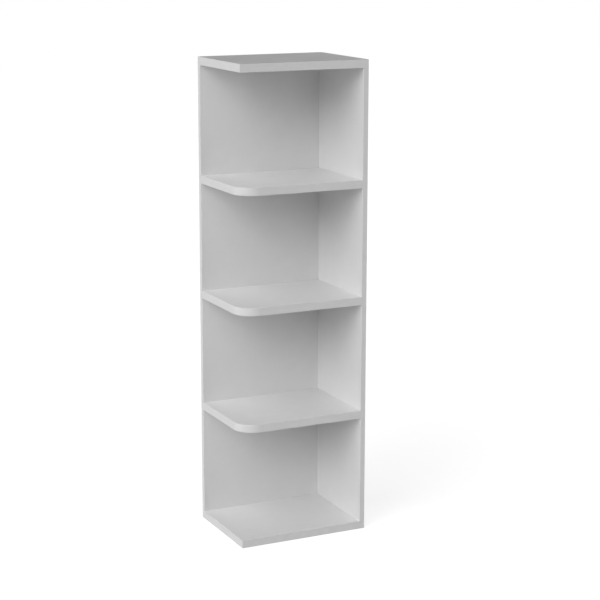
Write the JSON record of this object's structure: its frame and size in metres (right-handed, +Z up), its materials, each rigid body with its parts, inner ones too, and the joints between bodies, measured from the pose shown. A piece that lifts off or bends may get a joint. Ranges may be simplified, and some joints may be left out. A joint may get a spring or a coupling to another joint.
{
  "type": "open end shelf unit",
  "caption": "Tall open end shelf unit: a wide back panel and a narrow side panel meet in an L and carry fixed boards, the middle ones with a rounded free corner.",
  "frame": {"origin": "middle of the footprint, on the floor under the bottom board", "axes": "+X towards the narrow side panel, +Y towards the wide back panel, +Z up; the open sides face -X and -Y"},
  "size_m": [0.3048, 0.2286, 1.0668],
  "materials": {
    "white_laminate": "satin white melamine laminate on particleboard",
    "edge_band": "smooth satin white plastic edge band",
    "zinc_steel": "bright zinc plate",
    "beech": "bare fluted beech"
  },
  "bodies": {
    "root": {"back_panel": "white_laminate", "band_back_bottom": "edge_band", "band_back_left": "edge_band", "band_back_right": "edge_band", "band_back_top": "edge_band", "band_bottom_board_front": "edge_band", "band_bottom_board_left": "edge_band", "band_shelf_lower": "edge_band", "band_shelf_middle": "edge_band", "band_shelf_upper": "edge_band", "band_side_bottom": "edge_band", "band_side_front": "edge_band", "band_side_top": "edge_band", "band_top_board_front": "edge_band", "band_top_board_left": "edge_band", "bottom_board": "white_laminate", "dowel_bottom_board_back": "beech", "dowel_bottom_board_side": "beech", "dowel_shelf_lower_back": "beech", "dowel_shelf_lower_side": "beech", "dowel_shelf_middle_back": "beech", "dowel_shelf_middle_side": "beech", "dowel_shelf_upper_back": "beech", "dowel_shelf_upper_side": "beech", "dowel_top_board_back": "beech", "dowel_top_board_side": "beech", "screw_bottom_board_back_left": "zinc_steel", "screw_bottom_board_back_right": "zinc_steel", "screw_bottom_board_side_front": "zinc_steel", "screw_bottom_board_side_rear": "zinc_steel", "screw_corner_1": "zinc_steel", "screw_corner_2": "zinc_steel", "screw_corner_3": "zinc_steel", "screw_corner_4": "zinc_steel", "screw_shelf_lower_back_left": "zinc_steel", "screw_shelf_lower_back_right": "zinc_steel", "screw_shelf_lower_side_front": "zinc_steel", "screw_shelf_lower_side_rear": "zinc_steel", "screw_shelf_middle_back_left": "zinc_steel", "screw_shelf_middle_back_right": "zinc_steel", "screw_shelf_middle_side_front": "zinc_steel", "screw_shelf_middle_side_rear": "zinc_steel", "screw_shelf_upper_back_left": "zinc_steel", "screw_shelf_upper_back_right": "zinc_steel", "screw_shelf_upper_side_front": "zinc_steel", "screw_shelf_upper_side_rear": "zinc_steel", "screw_top_board_back_left": "zinc_steel", "screw_top_board_back_right": "zinc_steel", "screw_top_board_side_front": "zinc_steel", "screw_top_board_side_rear": "zinc_steel", "shelf_lower": "white_laminate", "shelf_middle": "white_laminate", "shelf_upper": "white_laminate", "side_panel": "white_laminate", "top_board": "white_laminate"}
  },
  "joints": []
}
